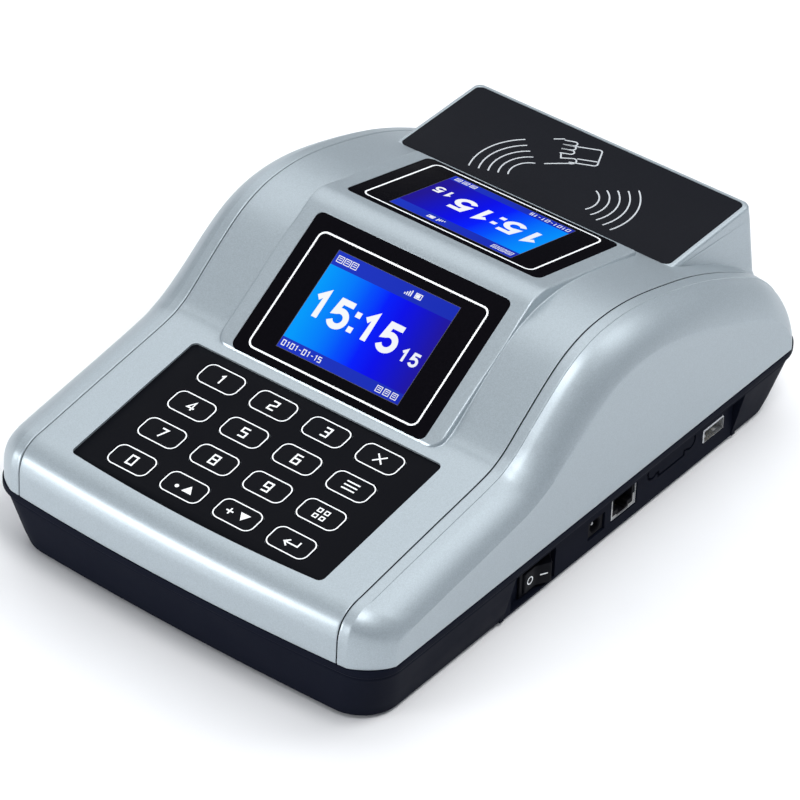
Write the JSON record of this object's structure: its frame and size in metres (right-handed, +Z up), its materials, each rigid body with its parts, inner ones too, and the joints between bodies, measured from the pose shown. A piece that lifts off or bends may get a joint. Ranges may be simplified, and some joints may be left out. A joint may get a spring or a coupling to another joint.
{
  "type": "contactless fare terminal",
  "caption": "Desktop fare terminal with a sloped numeric keypad, an operator display, a passenger display and a raised card reading panel on a black base with side ports.",
  "frame": {"origin": "middle of the length and width, on the surface that the rubber feet stand on", "axes": "+X to the operator's right, +Y from the operator to the passenger side, +Z up"},
  "size_m": [0.187, 0.2808, 0.1029],
  "materials": {
    "black_abs": "fine textured moulded black",
    "silver_paint": "satin silver paint with a fine speckle",
    "keypad_film": "matt black printed film",
    "key_film": "matt black printed film with white outlines",
    "black_window": "gloss black printed window",
    "reader_film": "matt black printed panel",
    "display": "lit blue screen",
    "circuit_board": "green solder mask",
    "spring_steel": "satin",
    "copper": "bare copper track",
    "chip_plastic": "satin black moulding",
    "plated_steel": "bright plated",
    "brass_blade": "plain",
    "switch_plastic": "semi-gloss black moulding",
    "ribbon": "flat film cable",
    "rubber": "matt black"
  },
  "bodies": {
    "housing": {"base_shell": "black_abs", "centre_cover": "silver_paint", "left_cheek": "silver_paint", "right_cheek": "silver_paint", "keypad_overlay": "keypad_film", "keypad_board": "circuit_board", "key_domes": "spring_steel", "front_window": "black_window", "rear_window": "black_window", "front_display": "display", "rear_display": "display", "front_display_board": "circuit_board", "rear_display_board": "circuit_board", "reader_panel": "reader_film", "reader_board": "circuit_board", "reader_antenna": "copper", "main_board": "circuit_board", "board_chips": "chip_plastic", "dc_jack": "chip_plastic", "rj45_jack": "plated_steel", "usb_socket": "plated_steel", "switch_housing": "switch_plastic", "switch_terminals": "brass_blade", "buzzer": "chip_plastic", "battery_holder": "chip_plastic", "clock_battery": "plated_steel", "keypad_ribbon": "ribbon", "front_ribbon": "ribbon", "rear_ribbon": "ribbon", "reader_cable": "chip_plastic", "ribbon_sockets": "ribbon", "rubber_feet": "rubber", "base_screws": "plated_steel", "board_screws": "plated_steel", "keypad_screws": "plated_steel", "display_screws": "plated_steel", "reader_screws": "plated_steel"},
    "rocker": {"power_rocker": "switch_plastic"},
    "key_1_body": {"key_1": "key_film"},
    "key_2_body": {"key_2": "key_film"},
    "key_3_body": {"key_3": "key_film"},
    "key_cancel_body": {"key_cancel": "key_film"},
    "key_4_body": {"key_4": "key_film"},
    "key_5_body": {"key_5": "key_film"},
    "key_6_body": {"key_6": "key_film"},
    "key_menu_body": {"key_menu": "key_film"},
    "key_7_body": {"key_7": "key_film"},
    "key_8_body": {"key_8": "key_film"},
    "key_9_body": {"key_9": "key_film"},
    "key_function_body": {"key_function": "key_film"},
    "key_0_body": {"key_0": "key_film"},
    "key_dot_up_body": {"key_dot_up": "key_film"},
    "key_plus_down_body": {"key_plus_down": "key_film"},
    "key_enter_body": {"key_enter": "key_film"}
  },
  "joints": [
    {"name": "rocker_swing", "type": "hinge", "parent": "housing", "child": "rocker", "pos_m": [0.082, -0.0283, 0.0093], "axis": [0, 0, 1], "range_deg": [0, 27]},
    {"name": "key_1_press", "type": "slide", "parent": "housing", "child": "key_1_body", "axis": [0, 0.1513, -0.9885], "range_m": [0, 0.0005], "stiffness_N_per_m": 600},
    {"name": "key_2_press", "type": "slide", "parent": "housing", "child": "key_2_body", "axis": [0, 0.1513, -0.9885], "range_m": [0, 0.0005], "stiffness_N_per_m": 600},
    {"name": "key_3_press", "type": "slide", "parent": "housing", "child": "key_3_body", "axis": [0, 0.1513, -0.9885], "range_m": [0, 0.0005], "stiffness_N_per_m": 600},
    {"name": "key_cancel_press", "type": "slide", "parent": "housing", "child": "key_cancel_body", "axis": [0, 0.1513, -0.9885], "range_m": [0, 0.0005], "stiffness_N_per_m": 600},
    {"name": "key_4_press", "type": "slide", "parent": "housing", "child": "key_4_body", "axis": [0, 0.1513, -0.9885], "range_m": [0, 0.0005], "stiffness_N_per_m": 600},
    {"name": "key_5_press", "type": "slide", "parent": "housing", "child": "key_5_body", "axis": [0, 0.1513, -0.9885], "range_m": [0, 0.0005], "stiffness_N_per_m": 600},
    {"name": "key_6_press", "type": "slide", "parent": "housing", "child": "key_6_body", "axis": [0, 0.1513, -0.9885], "range_m": [0, 0.0005], "stiffness_N_per_m": 600},
    {"name": "key_menu_press", "type": "slide", "parent": "housing", "child": "key_menu_body", "axis": [0, 0.1513, -0.9885], "range_m": [0, 0.0005], "stiffness_N_per_m": 600},
    {"name": "key_7_press", "type": "slide", "parent": "housing", "child": "key_7_body", "axis": [0, 0.1513, -0.9885], "range_m": [0, 0.0005], "stiffness_N_per_m": 600},
    {"name": "key_8_press", "type": "slide", "parent": "housing", "child": "key_8_body", "axis": [0, 0.1513, -0.9885], "range_m": [0, 0.0005], "stiffness_N_per_m": 600},
    {"name": "key_9_press", "type": "slide", "parent": "housing", "child": "key_9_body", "axis": [0, 0.1513, -0.9885], "range_m": [0, 0.0005], "stiffness_N_per_m": 600},
    {"name": "key_function_press", "type": "slide", "parent": "housing", "child": "key_function_body", "axis": [0, 0.1513, -0.9885], "range_m": [0, 0.0005], "stiffness_N_per_m": 600},
    {"name": "key_0_press", "type": "slide", "parent": "housing", "child": "key_0_body", "axis": [0, 0.1513, -0.9885], "range_m": [0, 0.0005], "stiffness_N_per_m": 600},
    {"name": "key_dot_up_press", "type": "slide", "parent": "housing", "child": "key_dot_up_body", "axis": [0, 0.1513, -0.9885], "range_m": [0, 0.0005], "stiffness_N_per_m": 600},
    {"name": "key_plus_down_press", "type": "slide", "parent": "housing", "child": "key_plus_down_body", "axis": [0, 0.1513, -0.9885], "range_m": [0, 0.0005], "stiffness_N_per_m": 600},
    {"name": "key_enter_press", "type": "slide", "parent": "housing", "child": "key_enter_body", "axis": [0, 0.1513, -0.9885], "range_m": [0, 0.0005], "stiffness_N_per_m": 600}
  ]
}
